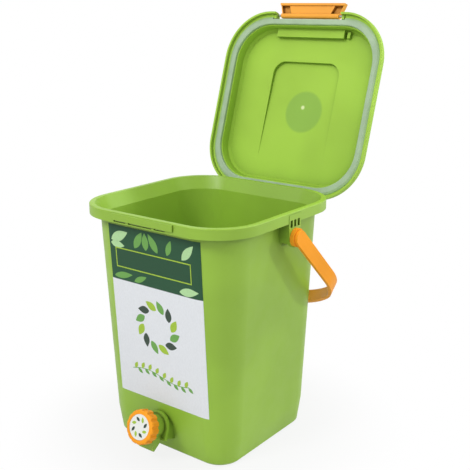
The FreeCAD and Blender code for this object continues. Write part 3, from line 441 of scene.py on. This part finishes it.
def leaf(x, z, angle, length, width):
    """Outline of a leaf from its stalk, pointing along the angle."""
    turn = math.radians(angle)
    shares = [step / LEAF_STEPS for step in range(LEAF_STEPS + 1)]
    upper = [(share * length, width / 2 * math.sin(math.pi * share ** LEAF_BELLY) ** LEAF_FULL)
             for share in shares]
    lower = [(along, -aside) for along, aside in reversed(upper[1:-1])]
    return [(x + along * math.cos(turn) - aside * math.sin(turn),
             z + along * math.sin(turn) + aside * math.cos(turn)) for along, aside in upper + lower]


def box_shape(left, right, low, high):
    return [(left, low), (right, low), (right, high), (left, high)]


def wreath(centre, radius, start, count, lean, length, width, colours):
    """Leaves on a circle, in colours that take turns."""
    shapes = {colour: [] for colour in colours}
    for index in range(count):
        around = start + 360 * index / count
        x = centre[0] + radius * math.cos(math.radians(around))
        z = centre[1] + radius * math.sin(math.radians(around))
        shapes[colours[index % len(colours)]].append(leaf(x, z, around + lean, length, width))
    return shapes


def print_on(name, shapes, place, lift, shader, body):
    """Ink: thin flat shapes laid on a surface, each with a small thickness."""
    mesh = bmesh.new()
    for shape in shapes:
        top = [mesh.verts.new(place(x, z, lift)) for x, z in shape]
        low = [mesh.verts.new(place(x, z, lift - INK_THICK)) for x, z in shape]
        mesh.faces.new(top)
        mesh.faces.new(list(reversed(low)))
        for i in range(len(shape)):
            j = (i + 1) % len(shape)
            mesh.faces.new((top[j], top[i], low[i], low[j]))
    bmesh.ops.recalc_face_normals(mesh, faces=mesh.faces)
    bmesh.ops.triangulate(mesh, faces=[face for face in mesh.faces if len(face.verts) > 4])
    piece = new_piece(name, mesh, shader)
    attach(piece, body)
    return piece


INKS = {
    "pale": ink("ink_pale", PALE_LEAF),
    "mid": ink("ink_mid", MID_LEAF),
    "lime": ink("ink_lime", LIME),
    "dark": ink("ink_dark", DARK_LEAF),
    "header": ink("ink_header", PLATE),
}


def label_print(name, shapes, colour, lift):
    """Ink on the label."""
    print_on(name, shapes, on_label, lift, INKS[colour], "bin")


# Header: sprays of leaves behind a bare plate with a thin frame. A leaf is x, z, angle, length, width.
HEADER_PALE = (
    (-63, 262, 24, 30, 12),
    (-64, 258, -4, 22, 9),
    (40, 217, 8, 28, 10),
    (46, 256, 48, 26, 10),
)
HEADER_MID = (
    (-26, 257, 58, 25, 10),
    (-8, 257, 92, 21, 10),
    (10, 257, 122, 25, 10),
    (24, 257, 70, 20, 8),
    (-62, 217, 10, 30, 8),
    (-30, 215, 24, 22, 7),
)
TITLE_LEFT, TITLE_RIGHT = -57.0, 59.0
TITLE_LOW, TITLE_HIGH = 229.0, 253.6
POST_WIDTH = 1.3
BAR_HEIGHT = 1.4
PLATE_LAP = 0.1

inner_left, inner_right = TITLE_LEFT + POST_WIDTH, TITLE_RIGHT - POST_WIDTH
inner_low, inner_high = TITLE_LOW + BAR_HEIGHT, TITLE_HIGH - BAR_HEIGHT
label_print("header_leaves_pale", [leaf(*row) for row in HEADER_PALE], "pale", lift=0.08)
label_print("header_leaves_mid", [leaf(*row) for row in HEADER_MID], "mid", lift=0.1)
label_print("title_frame", [
    box_shape(TITLE_LEFT, TITLE_RIGHT, inner_high, TITLE_HIGH),
    box_shape(TITLE_LEFT, TITLE_RIGHT, TITLE_LOW, inner_low),
    box_shape(TITLE_LEFT, inner_left, inner_low, inner_high),
    box_shape(inner_right, TITLE_RIGHT, inner_low, inner_high),
], "lime", lift=0.2)
label_print("title_plate", [
    box_shape(inner_left - PLATE_LAP, inner_right + PLATE_LAP, inner_low - PLATE_LAP, inner_high + PLATE_LAP),
], "header", lift=0.17)

# Middle of the label: a wreath of leaves.
label_wreath = wreath(centre=(1.5, 163), radius=22, start=0, count=12, lean=62, length=18, width=9.5,
                      colours=("lime", "dark", "mid"))
for colour, shapes in label_wreath.items():
    label_print("wreath_" + colour, shapes, colour, lift=0.08)

# Foot of the label: a waving sprig with leaves on both sides.
SPRIG_LEFT = -44.0
SPRIG_HEIGHT = 99.0
SPRIG_RISE = 4.0
SPRIG_WAVE = 15.0
STEM_CELLS = 45
STEM_STEP = 2.0
STEM_HALF = 0.45
PAIRS = 8
FIRST_PAIR = -40.0
PAIR_STEP = 11.4
LOWER_SHIFT = 5.0
STALK = 0.3


def sprig(x):
    """Height of the middle of the stem, whose wave turns by one radian over SPRIG_WAVE."""
    return SPRIG_HEIGHT + SPRIG_RISE * math.sin((x - SPRIG_LEFT) / SPRIG_WAVE)


stem = [SPRIG_LEFT + STEM_STEP * step for step in range(STEM_CELLS + 1)]
stem_low = [(x, sprig(x) - STEM_HALF) for x in stem]
stem_top = [(x, sprig(x) + STEM_HALF) for x in stem]
label_print("sprig_stem", [[stem_low[i], stem_low[i + 1], stem_top[i + 1], stem_top[i]]
                           for i in range(STEM_CELLS)], "mid", lift=0.08)
pairs = [FIRST_PAIR + PAIR_STEP * pair for pair in range(PAIRS)]
upper_leaves = [leaf(x, sprig(x) + STALK, angle=62, length=9.5, width=5.0) for x in pairs]
lower_leaves = [leaf(x, sprig(x) - STALK, angle=-38, length=9.0, width=4.6)
                for x in [pair + LOWER_SHIFT for pair in pairs]]
label_print("sprig_leaves_lime", upper_leaves, "lime", lift=0.12)
label_print("sprig_leaves_mid", lower_leaves, "mid", lift=0.12)

# Knob disc: a small wreath of its own.
disc_wreath = wreath(centre=(0, 0), radius=7, start=-35, count=8, lean=50, length=7.0, width=3.6,
                     colours=("lime", "dark"))
for colour, shapes in disc_wreath.items():
    print_on("disc_wreath_" + colour, shapes, on_disc, 0.1, INKS[colour], "tap_rotor")


# Strips in the lid: a soft lip outside the seal ring, then a moulded ledge up to the lid's skirt.
# Their sizes are in millimetres on the shut lid.
NOTCH_HALF = 57.0
CORNER_STEPS = 14
RING_HALF_X = 115.4
RING_HALF_Y = 114.4
RING_CORNER = 55.2


def ring(out, height):
    """A point of a profile that lies out from the seal ring's edge: half sizes, corner radius, height."""
    return RING_HALF_X + out, RING_HALF_Y + out, RING_CORNER + out, height


LIP_PROFILE = (ring(0.0, 300.6), ring(0.8, 300.66), ring(2.0, 301.0), ring(3.2, 301.7), ring(3.2, 302.7),
               ring(0.0, 302.0))
LEDGE_PROFILE = (ring(3.0, 302.3), (119.4, 119.0, 59.9, 301.8), (121.1, 121.6, 62.3, 301.4),
                 (121.1, 121.6, 62.3, 302.6), ring(3.0, 303.3))


def strip_loop(half_x, half_y, corner):
    """Points from the right end of the latch notch round the back to its left end."""
    in_x, in_y = half_x - corner, half_y - corner
    points = [(NOTCH_HALF, -half_y)]
    corners = ((in_x, -in_y, -90), (in_x, in_y, 0), (-in_x, in_y, 90), (-in_x, -in_y, 180))
    for centre_x, centre_y, start in corners:
        for step in range(CORNER_STEPS + 1):
            turn = math.radians(start + 90.0 * step / CORNER_STEPS)
            points.append((centre_x + corner * math.cos(turn), centre_y + corner * math.sin(turn)))
    points.append((-NOTCH_HALF, -half_y))
    return points


def lid_strip(name, profile, shader):
    """A closed strip round the lid, which follows each point of its profile."""
    mesh = bmesh.new()
    rows = [[mesh.verts.new(on_lid(x, y, height)) for x, y in strip_loop(half_x, half_y, corner)]
            for half_x, half_y, corner, height in profile]
    for first, second in zip(rows, rows[1:] + rows[:1]):
        for i in range(len(first) - 1):
            mesh.faces.new((first[i], first[i + 1], second[i + 1], second[i]))
    for end in (0, -1):
        mesh.faces.new([row[end] for row in rows])
    bmesh.ops.recalc_face_normals(mesh, faces=mesh.faces)
    piece = new_piece(name, mesh, shader)
    crisp(piece, STRIP_EDGE)
    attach(piece, "lid")


lid_strip("seal_lip", LIP_PROFILE, rubber("lip_rubber", LIP_PALE, rough=0.5))
lid_strip("lid_ledge", LEDGE_PROFILE, lid_green)


# Floor.
FLOOR_HALF = 12.0
FLOOR_DROP = 0.0002
FLOOR_GREY = (0.55, 0.55, 0.55, 1.0)
SHADOW_NEAR = 0.1
SHADOW_FAR = 0.27
SHADOW_WHITE = 0.85


def floor_material():
    """Grey to the light and white to the eye; close to the object a share of its shadow shows."""
    material = bpy.data.materials.new("floor_white")
    material.use_nodes = True
    material.node_tree.nodes.clear()
    tree = Nodes(material.node_tree)
    lit = tree.add("ShaderNodeBsdfDiffuse")
    tree.feed(lit.inputs["Color"], FLOOR_GREY)
    glow = tree.add("ShaderNodeEmission")
    away = tree.measure("LENGTH", tree.coordinates("Object"))
    white = tree.ramp(away, SHADOW_NEAR, SHADOW_FAR, SHADOW_WHITE, 1.0)
    seen = tree.combine("MULTIPLY", tree.any_ray("Camera", "Glossy", "Transmission"), white)
    output = tree.add("ShaderNodeOutputMaterial")
    tree.feed(output.inputs["Surface"], tree.mix_shader(seen, lit.outputs[0], glow.outputs[0]))
    return material


floor_mesh = bpy.data.meshes.new("floor")
floor_outline = box_shape(-FLOOR_HALF, FLOOR_HALF, -FLOOR_HALF, FLOOR_HALF)
floor_mesh.from_pydata([(x, y, 0) for x, y in floor_outline], [], [(0, 1, 2, 3)])
floor_mesh.materials.append(floor_material())
floor = bpy.data.objects.new("floor", floor_mesh)
floor.location.z = -FLOOR_DROP
scene.collection.objects.link(floor)

# World: soft light on the object and plain white to the eye. Reflections see a white backdrop behind
# the object and a dimmer room in front of it.
SOFT_LIGHT = 0.58
ROOM_FRONT, ROOM_BACK = -0.7, 0.5
ROOM_DIM = 0.2


def studio():
    world = bpy.data.worlds.new("studio")
    world.use_nodes = True
    world.node_tree.nodes.clear()
    tree = Nodes(world.node_tree)

    def background(strength):
        node = tree.add("ShaderNodeBackground")
        tree.feed(node.inputs["Color"], WHITE)
        tree.feed(node.inputs["Strength"], strength)
        return node.outputs[0]

    room = tree.ramp(tree.part(tree.coordinates("Generated"), "Y"), ROOM_FRONT, ROOM_BACK, ROOM_DIM, 1.0)
    mirror = tree.any_ray("Glossy", "Transmission")
    lighting = tree.mix_shader(mirror, background(SOFT_LIGHT), background(room))
    output = tree.add("ShaderNodeOutputWorld")
    shown = tree.mix_shader(tree.any_ray("Camera"), lighting, background(1.0))
    tree.feed(output.inputs["Surface"], shown)
    return world


scene.world = studio()


# Lamps and camera.
def set_up(thing, place, target):
    """Places a lamp or a camera and turns it to a target."""
    thing.location = place
    thing.rotation_mode = "QUATERNION"
    thing.rotation_quaternion = (Vector(target) - Vector(place)).to_track_quat("-Z", "Y")
    scene.collection.objects.link(thing)


def area_light(name, place, target, size, power):
    """A round lamp that faces a target; its power is in watts."""
    data = bpy.data.lights.new(name, "AREA")
    data.shape = "DISK"
    data.size = size
    data.energy = power
    lamp = bpy.data.objects.new(name, data)
    set_up(lamp, place, target)
    return lamp


area_light("key_front", place=(-0.6, -2.65, 2.7), target=(0, 0.05, 0.3), size=1.2, power=57)
area_light("right_back", place=(1.89, 1.66, 1.11), target=(0.1, 0, 0.25), size=0.24, power=18)
area_light("top_back", place=(1.0, 1.4, 2.9), target=(0.1, 0, 0.2), size=1.0, power=36)
fill = area_light("fill_front", place=(1.6, -2.2, 1.0), target=(0, 0, 0.25), size=1.4, power=9)
fill.visible_glossy = False

# The focal length is in pixels of a square picture that is FRAME_PIXELS wide.
EYE = (0.6229, -0.7639, 0.5307)
AIM = (0.02505, 0.01913, 0.25362)
FOCAL_PIXELS = 828.33
FRAME_PIXELS = 470.0
SENSOR_MM = 36.0

camera_data = bpy.data.cameras.new("camera")
camera_data.sensor_width = SENSOR_MM
camera_data.lens = FOCAL_PIXELS / FRAME_PIXELS * SENSOR_MM
camera = bpy.data.objects.new("camera", camera_data)
set_up(camera, EYE, AIM)
scene.camera = camera
